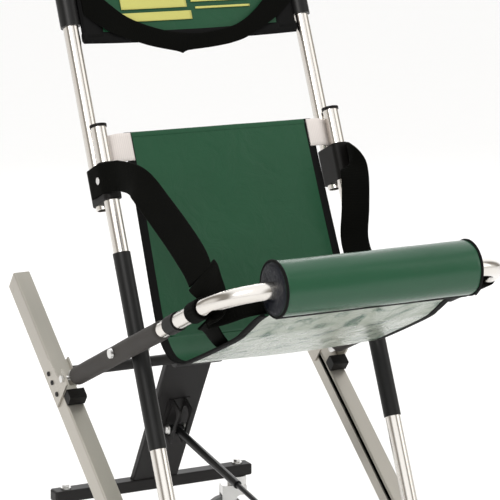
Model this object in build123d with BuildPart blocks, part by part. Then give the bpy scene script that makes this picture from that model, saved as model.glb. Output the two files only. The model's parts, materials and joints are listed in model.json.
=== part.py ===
from build123d import *
from math import atan2, cos, degrees, hypot, radians, sin
import os

os.makedirs("parts", exist_ok=True)

# Folding evacuation stair chair. Millimetres, +Z up, floor at z = 0, mirror plane at x = 0,
# the seated person faces -Y and their left hand is at +X. "left" pieces are the +X ones.

# ---- layout --------------------------------------------------------------------------------
AXLE_Y, AXLE_Z = -190.54, 90.0    # rail hinge line at the bottom of the uprights
LEAN = 24.2                       # uprights, degrees back from vertical
RAIL_SPREAD = 27.3                # rails, further degrees back from the uprights
LEG_ANGLE = 125.6                 # stand leg, degrees from the uprights' line
RUN_FIT = 0.06                    # radial clearance of everything that turns or slides
TOUCH = 0.01                      # radial clearance of fixed fits

# ---- uprights and handle -------------------------------------------------------------------
TUBE_R, TUBE_WALL = 12.5, 1.8
UPRIGHT_X = 209.0
UPRIGHT_LOW, UPRIGHT_TOP = -30.0, 781.0
SLEEVE_R, SLEEVE_LOW, SLEEVE_TOP = 14.0, 263.0, 575.0
CLAMP_LOW, CLAMP_TOP, CLAMP_FRONT, CLAMP_REAR = 660.0, 720.0, -16.0, 50.4
UPPER_T = 34.4                    # upper tubes run this far behind the uprights
UPPER_LOW, BOW_LOW, BOW_TOP, BOW_BEND = 653.0, 1235.0, 1353.0, 62.0
GRIP_R, GRIP_HALF = 17.0, 118.0
BOLT_S, BOLT_R = 692.8, 6.0

# ---- wheels --------------------------------------------------------------------------------
WHEEL_R, WHEEL_IN, WHEEL_OUT, WHEEL_S = 76.0, 172.2, 193.8, -15.35
AXLE_R = 6.0
CASTOR_R, CASTOR_TRAIL, CASTOR_X = 37.5, 22.0, 166.0

# ---- seat ----------------------------------------------------------------------------------
PIVOT_S, PIVOT_R = 420.0, 4.0
ARM_X, ARM_R, ARM_REAR, SEAT_FRONT, SEAT_BEND = 240.0, 12.7, 190.0, -388.0, 72.0
ARM_SLEEVE_R, ARM_SLEEVE_FRONT, ARM_SLEEVE_REAR = 15.5, -165.0, 188.0
EYE_T = 202.0
BOLSTER_R, BOLSTER_HALF, BOLSTER_S = 41.0, 165.0, 422.0
SLING_HALF, SLING_THICK = 166.0, 4.0

# ---- rails and stand -----------------------------------------------------------------------
RAIL_IN, RAIL_OUT, RAIL_FRONT, RAIL_DEPTH = 227.4, 257.0, 14.4, 38.0
RAIL_LOW, RAIL_TOP, RAIL_WALL = 22.0, 715.5, 2.4
PULLEY_D, PULLEY_R, BELT_R, BELT_THICK, BELT_HALF = 37.0, 14.7, 15.0, 4.0, 10.0
PULLEY_LOW, PULLEY_TOP = 42.0, 696.0
CROSS_R_AT, CROSS_D_AT, CROSS_R = 498.0, 13.0, 9.0
LEG_HALF, LEG_NEAR, LEG_THICK, LEG_LEN = 43.0, 13.5, 14.0, 318.8
BAR_HALF, BAR_Y, BAR_LOW, BAR_HIGH, BAR_DEEP = 190.0, 384.3, 112.0, 133.0, 28.0
STRUT_S, STRUT_R, ROD_R, STRUT_LEN, CYL_LEN = 90.0, 7.0, 4.2, 449.49, 236.0
STRUT_ANGLE = 56.727
PIN_A, PIN_P = 150.5, 2.5         # middle of the strut pin's path, along and behind the leg


def side(lean, s=0.0, t=0.0):
    """Side plane through chair point (s, t): local y along the lean line, z to +X, x = y x z."""
    chair = radians(LEAN)
    y = AXLE_Y + s * sin(chair) + t * cos(chair)
    z = AXLE_Z + s * cos(chair) - t * sin(chair)
    a = radians(lean)
    return Plane(origin=(0, y, z), x_dir=(0, cos(a), -sin(a)), z_dir=(1, 0, 0))


def level(frame, s, t=0.0, x=0.0):
    """Plane square to the lean line at height s: local x to +X, local y behind the line."""
    return Plane(origin=frame.from_local_coords((t, s, x)), x_dir=(1, 0, 0), z_dir=frame.y_dir)


def save(builder, name):
    builder.part.label = name
    export_step(builder.part, f"parts/{name}.step")


CHAIR = side(LEAN)
RAIL = side(LEAN + RAIL_SPREAD)
HINGE_S = CROSS_R_AT * cos(radians(RAIL_SPREAD)) - CROSS_D_AT * sin(radians(RAIL_SPREAD))
HINGE_T = CROSS_R_AT * sin(radians(RAIL_SPREAD)) + CROSS_D_AT * cos(radians(RAIL_SPREAD))
LEG = side(LEAN + LEG_ANGLE, HINGE_S, HINGE_T)
STRUT = side(LEAN + STRUT_ANGLE, STRUT_S, 0)
UP_CHAIR = Axis((0, 0, 0), CHAIR.y_dir)
HANDS = (("left", 1), ("right", -1))


def across(frame, hand, x_in):
    """Side plane at distance x_in from the middle; extruding away is +amount * hand."""
    return frame.offset(hand * x_in)


# ======================================= uprights ============================================
for hand_name, hand in HANDS:
    with BuildPart() as upright:
        with BuildSketch(level(CHAIR, UPRIGHT_LOW, 0, hand * UPRIGHT_X)):
            Circle(TUBE_R)
            Circle(TUBE_R - TUBE_WALL, mode=Mode.SUBTRACT)
        extrude(amount=UPRIGHT_TOP - UPRIGHT_LOW)
        with BuildSketch(across(CHAIR, hand, 180)):
            with Locations((0, WHEEL_S)):
                Circle(AXLE_R + TOUCH)
            with Locations((0, 0), (0, PIVOT_S)):
                Circle(PIVOT_R + TOUCH)
        extrude(amount=hand * 60, mode=Mode.SUBTRACT)
    save(upright, f"upright_{hand_name}")

with BuildPart() as upright_sleeves:
    for _, hand in HANDS:
        with BuildSketch(level(CHAIR, SLEEVE_LOW, 0, hand * UPRIGHT_X)):
            Circle(SLEEVE_R)
            Circle(TUBE_R + TOUCH, mode=Mode.SUBTRACT)
        extrude(amount=SLEEVE_TOP - SLEEVE_LOW)
        with BuildSketch(across(CHAIR, hand, 180)):
            with Locations((0, PIVOT_S)):
                Circle(PIVOT_R + TOUCH)
        extrude(amount=hand * 60, mode=Mode.SUBTRACT)
save(upright_sleeves, "upright_sleeves")

# clamp blocks: fixed on the uprights and bored for the sliding upper tubes
with BuildPart() as clamp_blocks:
    for _, hand in HANDS:
        with BuildSketch(level(CHAIR, CLAMP_LOW, 0, 0)):
            with Locations((hand * UPRIGHT_X, (CLAMP_FRONT + CLAMP_REAR) / 2)):
                RectangleRounded(30, CLAMP_REAR - CLAMP_FRONT, 11)
        extrude(amount=CLAMP_TOP - CLAMP_LOW)
    fillet(clamp_blocks.faces().filter_by(UP_CHAIR).edges(), 2.0)
    for _, hand in HANDS:
        with BuildSketch(level(CHAIR, CLAMP_LOW - 5, 0, 0)):
            with Locations((hand * UPRIGHT_X, 0)):
                Circle(TUBE_R + TOUCH)
            with Locations((hand * UPRIGHT_X, UPPER_T)):
                Circle(TUBE_R + RUN_FIT)
        extrude(amount=CLAMP_TOP - CLAMP_LOW + 10, mode=Mode.SUBTRACT)
save(clamp_blocks, "clamp_blocks")

# round bolt heads on the outer faces of the clamp blocks
with BuildPart() as clamp_bolts:
    for _, hand in HANDS:
        with BuildSketch(across(CHAIR, hand, UPRIGHT_X + 15.05)):
            with Locations((0, BOLT_S)):
                Circle(BOLT_R)
        extrude(amount=hand * 3.2)
    heads = clamp_bolts.edges().group_by(Axis.X)
    fillet(heads[0] + heads[-1], 1.0)
save(clamp_bolts, "clamp_bolts")

with BuildPart() as upright_caps:
    for _, hand in HANDS:
        with BuildSketch(level(CHAIR, UPRIGHT_TOP - 2.5, 0, hand * UPRIGHT_X)):
            Circle(SLEEVE_R)
            Circle(TUBE_R + TOUCH, mode=Mode.SUBTRACT)
        extrude(amount=2.5)
        with BuildSketch(level(CHAIR, UPRIGHT_TOP, 0, hand * UPRIGHT_X)):
            Circle(SLEEVE_R)
        extrude(amount=2.0)
save(upright_caps, "upright_caps")

with BuildPart() as lower_crossbar:
    with BuildSketch(across(CHAIR, 1, -205)):
        with Locations((0, STRUT_S)):
            Circle(11)
            Circle(9.4, mode=Mode.SUBTRACT)
    extrude(amount=410)
    for _, hand in HANDS:
        with BuildSketch(level(CHAIR, STRUT_S - 30, 0, hand * UPRIGHT_X)):
            Circle(TUBE_R + TOUCH)
        extrude(amount=60, mode=Mode.SUBTRACT)
save(lower_crossbar, "lower_crossbar")

# ======================================= main wheels =========================================
with BuildPart() as main_axle:
    with BuildSketch(across(CHAIR, 1, -223.4)):
        with Locations((0, WHEEL_S)):
            Circle(AXLE_R)
    extrude(amount=446.8)
    for _, hand in HANDS:
        with BuildSketch(across(CHAIR, hand, 166)):
            with Locations((0, WHEEL_S)):
                Circle(10)
        extrude(amount=hand * 6)
save(main_axle, "main_axle")

for hand_name, hand in HANDS:
    with BuildPart() as hub:
        with BuildSketch(across(CHAIR, hand, WHEEL_IN + 3)):
            with Locations((0, WHEEL_S)):
                Circle(WHEEL_R - 14)
        extrude(amount=hand * (WHEEL_OUT - WHEEL_IN - 6))
        with BuildSketch(across(CHAIR, hand, WHEEL_IN)):
            with Locations((0, WHEEL_S)):
                Circle(15)
        extrude(amount=hand * (WHEEL_OUT - WHEEL_IN))
        with BuildSketch(across(CHAIR, hand, WHEEL_IN - 1)):
            with Locations((0, WHEEL_S)):
                Circle(AXLE_R + RUN_FIT)
                with PolarLocations(38, 5):
                    Circle(13)
        extrude(amount=hand * (WHEEL_OUT - WHEEL_IN + 2), mode=Mode.SUBTRACT)
    save(hub, f"main_wheel_hub_{hand_name}")

    with BuildPart() as tyre:
        with BuildSketch(across(CHAIR, hand, WHEEL_IN)):
            with Locations((0, WHEEL_S)):
                Circle(WHEEL_R)
                Circle(WHEEL_R - 14 + TOUCH, mode=Mode.SUBTRACT)
        extrude(amount=hand * (WHEEL_OUT - WHEEL_IN))
        rim = tyre.edges().filter_by(GeomType.CIRCLE).group_by(SortBy.RADIUS)[-1]
        fillet(rim, 5.0)
    save(tyre, f"main_wheel_tyre_{hand_name}")

# ======================================= pivot bolts =========================================
with BuildPart() as seat_pivot_bolts:
    for _, hand in HANDS:
        with BuildSketch(across(CHAIR, hand, 193)):
            with Locations((0, PIVOT_S)):
                Circle(PIVOT_R)
        extrude(amount=hand * 65)
        with BuildSketch(across(CHAIR, hand, 256)):
            with Locations((0, PIVOT_S)):
                Circle(7.5)
        extrude(amount=hand * 4.5)
save(seat_pivot_bolts, "seat_pivot_bolts")

with BuildPart() as rail_pivot_bolts:
    for _, hand in HANDS:
        with BuildSketch(across(CHAIR, hand, 194)):
            Circle(PIVOT_R)
        extrude(amount=hand * 40)
        with BuildSketch(across(CHAIR, hand, 227.7)):
            Circle(8)
        extrude(amount=hand * 6)
save(rail_pivot_bolts, "rail_pivot_bolts")

# ======================================= handle ==============================================
with BuildPart() as handle_tubes:
    for _, hand in HANDS:
        with BuildSketch(level(CHAIR, UPPER_LOW, UPPER_T, hand * UPRIGHT_X)):
            Circle(TUBE_R)
            Circle(TUBE_R - TUBE_WALL, mode=Mode.SUBTRACT)
        extrude(amount=BOW_LOW - UPPER_LOW)
save(handle_tubes, "handle_tubes")

with BuildPart() as headrest_sleeves:
    for _, hand in HANDS:
        with BuildSketch(level(CHAIR, 956, UPPER_T, hand * UPRIGHT_X)):
            Circle(16)
            Circle(TUBE_R + TOUCH, mode=Mode.SUBTRACT)
        extrude(amount=232)
save(headrest_sleeves, "headrest_sleeves")

bow_line = Plane(origin=CHAIR.from_local_coords((UPPER_T, 0, 0)), x_dir=(1, 0, 0),
                 z_dir=CHAIR.x_dir * -1)
with BuildPart() as push_handle:
    with BuildLine(bow_line):
        FilletPolyline((-UPRIGHT_X, BOW_LOW), (-UPRIGHT_X, BOW_TOP), (UPRIGHT_X, BOW_TOP),
                       (UPRIGHT_X, BOW_LOW), radius=BOW_BEND)
    with BuildSketch(level(CHAIR, BOW_LOW, UPPER_T, -UPRIGHT_X)):
        Circle(TUBE_R)
        Circle(TUBE_R - TUBE_WALL, mode=Mode.SUBTRACT)
    sweep()
save(push_handle, "push_handle")

with BuildPart() as handle_grip:
    with BuildSketch(across(CHAIR, 1, -GRIP_HALF)):
        with Locations((UPPER_T, BOW_TOP)):
            Circle(GRIP_R)
            Circle(TUBE_R + TOUCH, mode=Mode.SUBTRACT)
    extrude(amount=2 * GRIP_HALF)
    fillet(handle_grip.edges().filter_by(GeomType.CIRCLE).group_by(SortBy.RADIUS)[-1], 2.0)
save(handle_grip, "handle_grip")

with BuildPart() as headrest_panel:
    with BuildSketch(across(CHAIR, 1, -192.9)):
        with Locations((30, 1057)):
            RectangleRounded(10, 254, 4)
    extrude(amount=385.8)
save(headrest_panel, "headrest_panel")

# wide padded strap sagging across the front of the headrest
with BuildPart() as head_strap:
    with BuildSketch(bow_line.offset(UPPER_T - 14)):
        with BuildLine():
            lower = Spline((-188, 972), (-141, 938), (-88, 914), (-29, 898), (69, 908),
                           (99, 920), (150, 946), (188, 975))
            upper = Spline((-188, 1052), (-141, 985), (-111, 960), (-61, 939), (-9, 929),
                           (37, 932), (85, 945), (134, 980), (188, 1040))
            Line(lower @ 0, upper @ 0)
            Line(lower @ 1, upper @ 1)
        make_face()
    extrude(amount=-10)
save(head_strap, "head_strap")

# ======================================= seat frame ==========================================
seat_plane = Plane(origin=CHAIR.from_local_coords((0, PIVOT_S, 0)), x_dir=(1, 0, 0),
                   z_dir=CHAIR.y_dir)
with BuildPart() as seat_tube:
    with BuildLine(seat_plane):
        FilletPolyline((-ARM_X, ARM_REAR), (-ARM_X, SEAT_FRONT), (ARM_X, SEAT_FRONT),
                       (ARM_X, ARM_REAR), radius=SEAT_BEND)
    with BuildSketch(Plane(origin=seat_plane.from_local_coords((-ARM_X, ARM_REAR, 0)),
                           x_dir=(1, 0, 0), z_dir=seat_plane.y_dir * -1)):
        Circle(ARM_R)
        Circle(ARM_R - 1.8, mode=Mode.SUBTRACT)
    sweep()
    with BuildSketch(across(CHAIR, 1, -262)):
        with Locations((0, PIVOT_S)):
            Circle(PIVOT_R + RUN_FIT)
    extrude(amount=524, mode=Mode.SUBTRACT)
save(seat_tube, "seat_tube")


def arm_ring(rear, front, outer, hand, bore=ARM_R + TOUCH):
    """Ring round one seat arm between two stations along it."""
    with BuildPart() as piece:
        with BuildSketch(Plane(origin=seat_plane.from_local_coords((hand * ARM_X, front, 0)),
                               x_dir=(1, 0, 0), z_dir=seat_plane.y_dir)):
            Circle(outer)
            Circle(bore, mode=Mode.SUBTRACT)
        extrude(amount=rear - front)
    return piece.part


for hand_name, hand in HANDS:
    arm_cover = arm_ring(ARM_SLEEVE_REAR, ARM_SLEEVE_FRONT, ARM_SLEEVE_R, hand)
    with BuildPart() as arm_sleeve:
        add(arm_cover)
        with BuildSketch(across(CHAIR, hand, 220)):
            with Locations((0, PIVOT_S)):
                Circle(PIVOT_R + RUN_FIT)
        extrude(amount=hand * 40, mode=Mode.SUBTRACT)
    save(arm_sleeve, f"arm_sleeve_{hand_name}")

# flattened eyes closing the arms' rear ends, with the latch pins through them
with BuildPart() as arm_end_eyes:
    for _, hand in HANDS:
        with BuildSketch(seat_plane.offset(-12)):
            with Locations((hand * ARM_X, 196.5)):
                Rectangle(14, 13)
        extrude(amount=24)
        with BuildSketch(across(CHAIR, hand, ARM_X - 7)):
            with Locations((EYE_T, PIVOT_S)):
                Circle(12)
        extrude(amount=hand * 14)
        with BuildSketch(across(CHAIR, hand, ARM_X - 9)):
            with Locations((EYE_T, PIVOT_S)):
                Circle(PIVOT_R)
        extrude(amount=hand * 30)
        with BuildSketch(across(CHAIR, hand, 260.4)):
            with Locations((EYE_T, PIVOT_S)):
                RegularPolygon(6.2, 6)
        extrude(amount=hand * 4)
save(arm_end_eyes, "arm_end_eyes")

strap_rings = [arm_ring(-279, -312, ARM_R + 2.4, hand) for _, hand in HANDS]
dark_rings = [arm_ring(-194, -226, ARM_R + 2.0, hand) for _, hand in HANDS]
with BuildPart() as strap_loops:
    add(strap_rings)
save(strap_loops, "strap_loops")
with BuildPart() as seat_tube_wraps:
    add(dark_rings)
save(seat_tube_wraps, "seat_tube_wraps")

with BuildPart() as bolster:
    with BuildSketch(across(CHAIR, 1, -BOLSTER_HALF)):
        with Locations((SEAT_FRONT, BOLSTER_S)):
            Circle(BOLSTER_R)
        with Locations((SEAT_FRONT, PIVOT_S)):
            Circle(ARM_R + TOUCH, mode=Mode.SUBTRACT)
    extrude(amount=2 * BOLSTER_HALF)
    fillet(bolster.edges().filter_by(GeomType.CIRCLE).group_by(SortBy.RADIUS)[-1], 5.0)
save(bolster, "bolster")

# ======================================= sling ===============================================
with BuildPart() as sling_back:
    with BuildSketch(across(CHAIR, 1, -SLING_HALF)):
        with Locations((-2, 614.5)):
            Rectangle(SLING_THICK, 305)
    extrude(amount=2 * SLING_HALF)
save(sling_back, "sling_back")

with BuildPart() as sling_seat:
    with BuildSketch(across(CHAIR, 1, -SLING_HALF)):
        with BuildLine():
            FilletPolyline((-2, 458), (-2, 379.5), (-262, 379.5), (-350, 399), radius=60)
        trace(line_width=SLING_THICK)
    extrude(amount=2 * SLING_HALF)
    with BuildSketch(across(CHAIR, 1, -SLING_HALF - 5)):
        with Locations((SEAT_FRONT, BOLSTER_S)):
            Circle(BOLSTER_R + TOUCH)
    extrude(amount=2 * SLING_HALF + 10, mode=Mode.SUBTRACT)
save(sling_seat, "sling_seat")

with BuildPart() as sling_tabs:
    for _, hand in HANDS:
        with BuildSketch(across(CHAIR, hand, SLING_HALF)):
            with Locations((-1, 744)):
                Rectangle(3, 46)
        extrude(amount=hand * (UPRIGHT_X - 8 - SLING_HALF))
        with BuildSketch(level(CHAIR, 721, 0, hand * UPRIGHT_X)):
            Circle(TUBE_R)
        extrude(amount=46, mode=Mode.SUBTRACT)
save(sling_tabs, "sling_tabs")

# arm straps hang from the clamp blocks and stop short of the seat arms; the left one is slack
STRAP_RUNS = {
    "left": ((-16.2, 694), (-40, 690), (-64, 668), (-60, 640), (-50, 600), (-36, 550),
             (-42, 505), (-80, 474), (-130, 461), (-190, 456), (-246, 458)),
    "right": ((-16.2, 694), (-47, 687), (-106, 660), (-163, 610), (-218, 549), (-262, 505),
              (-287, 470)),
}
for hand_name, hand in HANDS:
    with BuildPart() as arm_strap:
        with BuildSketch(across(CHAIR, hand, UPRIGHT_X - 24)):
            with BuildLine():
                FilletPolyline(*STRAP_RUNS[hand_name], radius=10)
            trace(line_width=4)
        extrude(amount=hand * 48)
    save(arm_strap, f"arm_strap_{hand_name}")

# ======================================= rails ===============================================
for hand_name, hand in HANDS:
    wide = RAIL_OUT - RAIL_IN
    with BuildPart() as rail:
        with BuildSketch(level(RAIL, RAIL_LOW, 0, 0)):
            with Locations((hand * (RAIL_IN + RAIL_OUT) / 2, RAIL_FRONT + RAIL_DEPTH / 2)):
                RectangleRounded(wide, RAIL_DEPTH, 3)
            with Locations((hand * (RAIL_IN + RAIL_OUT) / 2,
                            RAIL_FRONT + RAIL_WALL + RAIL_DEPTH / 2)):
                Rectangle(wide - 2 * RAIL_WALL, RAIL_DEPTH, mode=Mode.SUBTRACT)
        extrude(amount=RAIL_TOP - RAIL_LOW)
        with BuildSketch(across(RAIL, hand, RAIL_IN - 2)):
            with Locations((RAIL_FRONT + 8.5, (100 + 690) / 2)):
                Rectangle(11, 590)
        extrude(amount=hand * 6, mode=Mode.SUBTRACT)
        with BuildSketch(across(RAIL, hand, RAIL_IN - 2)):
            with Locations((PULLEY_D, PULLEY_LOW), (PULLEY_D, PULLEY_TOP)):
                Circle(PIVOT_R + TOUCH)
        extrude(amount=hand * 40, mode=Mode.SUBTRACT)
    save(rail, f"rail_{hand_name}")

    with BuildPart() as belt:
        with BuildSketch(across(RAIL, hand, (RAIL_IN + RAIL_OUT) / 2 - BELT_HALF)):
            with Locations((PULLEY_D, (PULLEY_LOW + PULLEY_TOP) / 2)):
                SlotCenterToCenter(PULLEY_TOP - PULLEY_LOW, 2 * (BELT_R + BELT_THICK), 90)
                SlotCenterToCenter(PULLEY_TOP - PULLEY_LOW, 2 * BELT_R, 90,
                                   mode=Mode.SUBTRACT)
        extrude(amount=hand * 2 * BELT_HALF)
    save(belt, f"glide_belt_{hand_name}")

    for end_name, r in (("lower", PULLEY_LOW), ("upper", PULLEY_TOP)):
        with BuildPart() as pulley:
            with BuildSketch(across(RAIL, hand, RAIL_IN + RAIL_WALL + 2)):
                with Locations((PULLEY_D, r)):
                    Circle(PULLEY_R)
                    Circle(PIVOT_R + RUN_FIT, mode=Mode.SUBTRACT)
            extrude(amount=hand * (wide - 2 * RAIL_WALL - 4))
        save(pulley, f"belt_pulley_{end_name}_{hand_name}")

    # bracket that takes the arm end: hooked outer plate, inner plate, saddle over the rail face
    with BuildPart() as bracket:
        with BuildSketch(across(RAIL, hand, RAIL_OUT + 0.2)):
            with BuildLine():
                Polyline((44, 452), (44, 522), (5, 522), (3, 484), (2.5, 479.5), (-6, 479.5),
                         (-6, 479), (-22, 479), (-23, 456), (-16, 451), (14.6, 451), (18, 452),
                         close=True)
            make_face()
            with BuildLine():
                Polyline((-17.7, 465.8), (-17.7, 485), (-4.2, 485), (-8.6, 465.8), close=True)
            make_face(mode=Mode.SUBTRACT)
            with Locations((-13.1, 465.8)):
                Circle(4.6, mode=Mode.SUBTRACT)
        extrude(amount=hand * 3.0)
        with BuildSketch(across(RAIL, hand, RAIL_IN - 3.2)):
            with BuildLine():
                Polyline((8, 474), (8, 524), (38, 524), (38, 474), close=True)
            make_face()
        extrude(amount=hand * 3.0)
        with BuildSketch(level(RAIL, 484, 0, 0)):
            with Locations((hand * (RAIL_IN + RAIL_OUT) / 2, RAIL_FRONT - 1.6)):
                Rectangle(wide + 6.4, 2.8)
        extrude(amount=38)
    save(bracket, f"rail_bracket_{hand_name}")

# foot plates from the rails' lower ends to the hinge bolts on the uprights
with BuildPart() as rail_feet:
    for _, hand in HANDS:
        with BuildSketch(across(RAIL, hand, RAIL_IN - 3.5)):
            with BuildLine():
                Polyline((-13, -6), (-7, -13), (8, -13), (22, 2), (46, 20), (50, 34), (50, 96),
                         (17, 96), (17, 40), (-4, 14), (-13, 6), close=True)
            make_face()
            Circle(PIVOT_R + RUN_FIT, mode=Mode.SUBTRACT)
        extrude(amount=hand * 3.5)
save(rail_feet, "rail_feet")

with BuildPart() as collar_blocks:
    for _, hand in HANDS:
        with BuildSketch(across(RAIL, hand, RAIL_IN)):
            with Locations(((RAIL_FRONT - 6.1) / 2, 440.8)):
                RectangleRounded(RAIL_FRONT + 5.9, 19.6, 2.5)
        extrude(amount=hand * (RAIL_OUT - RAIL_IN))
save(collar_blocks, "collar_blocks")

with BuildPart() as pulley_pins:
    for _, hand in HANDS:
        with BuildSketch(across(RAIL, hand, RAIL_IN + 0.2)):
            with Locations((PULLEY_D, PULLEY_LOW), (PULLEY_D, PULLEY_TOP)):
                Circle(PIVOT_R)
        extrude(amount=hand * (RAIL_OUT - RAIL_IN - 0.4))
save(pulley_pins, "pulley_pins")

with BuildPart() as bracket_screws:
    for _, hand in HANDS:
        with BuildSketch(across(RAIL, hand, RAIL_OUT + 3.2)):
            with Locations((27, 508.5), (27, 490), (27, 466)):
                Circle(4.0)
                RegularPolygon(2.0, 6, mode=Mode.SUBTRACT)
        extrude(amount=hand * 1.8)
save(bracket_screws, "bracket_screws")

with BuildPart() as rail_crossbar:
    with BuildSketch(across(RAIL, 1, -RAIL_IN + 3.3)):
        with Locations((CROSS_D_AT, CROSS_R_AT)):
            Circle(CROSS_R)
    extrude(amount=2 * (RAIL_IN - 3.3))
save(rail_crossbar, "rail_crossbar")

# ======================================= stand ===============================================
leg_mid = LEG_NEAR + LEG_THICK / 2
with BuildPart() as stand_leg:
    with BuildSketch(across(LEG, 1, -LEG_HALF)):
        Circle(15)
        with BuildLine():
            Polyline((15, 0), (0, -15), (-LEG_NEAR - LEG_THICK, -15),
                     (-LEG_NEAR - LEG_THICK, 20), (-LEG_NEAR, 20), close=True)
        make_face()
    extrude(amount=2 * LEG_HALF)
    with BuildSketch(level(LEG, 0, -leg_mid, 0)):
        RectangleRounded(2 * LEG_HALF, LEG_THICK, 3)
        Rectangle(2 * LEG_HALF - 8, LEG_THICK - 6, mode=Mode.SUBTRACT)
    extrude(amount=LEG_LEN)
    with BuildSketch(across(LEG, 1, -LEG_HALF - 1)):
        Circle(CROSS_R + RUN_FIT)
    extrude(amount=2 * LEG_HALF + 2, mode=Mode.SUBTRACT)
    with Locations((0, BAR_Y, (BAR_LOW + BAR_HIGH) / 2)):
        Box(2 * BAR_HALF, BAR_DEEP + 0.02, BAR_HIGH - BAR_LOW + 0.02, mode=Mode.SUBTRACT)
    with Locations((0, BAR_Y, BAR_LOW - 20)):
        Box(2 * BAR_HALF, 120, 41, mode=Mode.SUBTRACT)
save(stand_leg, "stand_leg")

with BuildPart() as base_bar:
    with Locations((0, BAR_Y, (BAR_LOW + BAR_HIGH) / 2)):
        Box(2 * BAR_HALF, BAR_DEEP, BAR_HIGH - BAR_LOW)
    fillet(base_bar.edges().filter_by(Axis.X), 3.0)
    fillet(base_bar.edges().filter_by(Axis.Z), 4.0)
    with Locations((-CASTOR_X, BAR_Y, BAR_LOW - 1), (CASTOR_X, BAR_Y, BAR_LOW - 1)):
        Cylinder(5 + RUN_FIT, BAR_HIGH - BAR_LOW + 2,
                 align=(Align.CENTER, Align.CENTER, Align.MIN), mode=Mode.SUBTRACT)
save(base_bar, "base_bar")

# slotted cheeks that guide the strut's head pin
with BuildPart() as strut_bracket:
    for _, hand in HANDS:
        with BuildSketch(across(LEG, hand, 10)):
            with Locations(((20 - LEG_NEAR) / 2, PIN_A)):
                RectangleRounded(LEG_NEAR + 20, 78, 5)
            with Locations((PIN_P, PIN_A)):
                SlotOverall(60, 22.4, 90, mode=Mode.SUBTRACT)
        extrude(amount=hand * 3)
    with BuildSketch(level(LEG, PIN_A - 39, 0, 0)):
        with Locations((0, 0.7 - LEG_NEAR)):
            Rectangle(40, 1.2)
    extrude(amount=78)
save(strut_bracket, "strut_bracket")

castor_turn = {1: 165.0, -1: 195.0}
with BuildPart() as castor_bolts:
    with BuildSketch(Plane.XY.offset(BAR_HIGH + 0.1)):
        with Locations((-CASTOR_X, BAR_Y), (CASTOR_X, BAR_Y)):
            Circle(9)
    extrude(amount=2.5)
    with BuildSketch(Plane.XY.offset(BAR_HIGH + 2.6)):
        with Locations((-CASTOR_X, BAR_Y), (CASTOR_X, BAR_Y)):
            RegularPolygon(6.5, 6)
    extrude(amount=5.4)
save(castor_bolts, "castor_bolts")

for hand_name, hand in HANDS:
    swivel = Plane(origin=(hand * CASTOR_X, BAR_Y, 0), z_dir=(0, 0, 1),
                   x_dir=(cos(radians(castor_turn[hand])), sin(radians(castor_turn[hand])), 0))
    roll = Plane(origin=swivel.from_local_coords((CASTOR_TRAIL, 0, CASTOR_R)),
                 x_dir=swivel.x_dir, z_dir=swivel.y_dir)
    with BuildPart() as fork:
        with BuildSketch(swivel.offset(CASTOR_R * 2 + 14)):
            Circle(5)
        extrude(amount=BAR_HIGH - CASTOR_R * 2 - 14)
        with BuildSketch(swivel.offset(CASTOR_R * 2 + 20)):
            Circle(17)
        extrude(amount=BAR_LOW - CASTOR_R * 2 - 20.1)
        with BuildSketch(swivel.offset(CASTOR_R * 2 + 3)):
            with Locations((7, 0)):
                RectangleRounded(44, 29, 6)
        extrude(amount=17.5)
        for cheek in (-14.5, 11.6):
            with BuildSketch(roll.offset(cheek)):
                with BuildLine():
                    Polyline((-37, -57), (7, -57), (8, 6), (0, 9), (-8, 6), (-20, -38),
                             (-37, -46), close=True)
                make_face()
            extrude(amount=2.9)
        with BuildSketch(roll.offset(-15.5)):
            Circle(3.5)
        extrude(amount=31)
    save(fork, f"castor_fork_{hand_name}")

    with BuildPart() as castor_wheel:
        with BuildSketch(roll.offset(-10)):
            Circle(CASTOR_R)
        extrude(amount=20)
        fillet(castor_wheel.edges().filter_by(GeomType.CIRCLE), 4.0)
        with BuildSketch(roll.offset(-11)):
            Circle(3.5 + RUN_FIT)
        extrude(amount=22, mode=Mode.SUBTRACT)
    save(castor_wheel, f"castor_wheel_{hand_name}")

# ======================================= strut ===============================================
with BuildPart() as strut_rod:
    with BuildSketch(across(STRUT, 1, -8)):
        Circle(15.5)
    extrude(amount=16)
    with BuildSketch(level(STRUT, 0, 0, 0)):
        Circle(ROD_R)
    extrude(amount=246)
    with BuildSketch(across(STRUT, 1, -9)):
        Circle(11 + RUN_FIT)
    extrude(amount=18, mode=Mode.SUBTRACT)
save(strut_rod, "strut_rod")

with BuildPart() as strut_cylinder:
    with BuildSketch(level(STRUT, STRUT_LEN - CYL_LEN, 0, 0)):
        Circle(STRUT_R)
    extrude(amount=CYL_LEN)
    with BuildSketch(across(STRUT, 1, -8)):
        with Locations((0, STRUT_LEN)):
            Circle(7.4)
    extrude(amount=16)
    with BuildSketch(across(STRUT, 1, -17)):
        with Locations((0, STRUT_LEN)):
            Circle(PIVOT_R)
    extrude(amount=34)
    with BuildSketch(level(STRUT, STRUT_LEN - CYL_LEN - 1, 0, 0)):
        Circle(ROD_R + RUN_FIT)
    extrude(amount=CYL_LEN - 8, mode=Mode.SUBTRACT)
save(strut_cylinder, "strut_cylinder")
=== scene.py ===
import json
import math
import bpy
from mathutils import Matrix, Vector, noise


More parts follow.
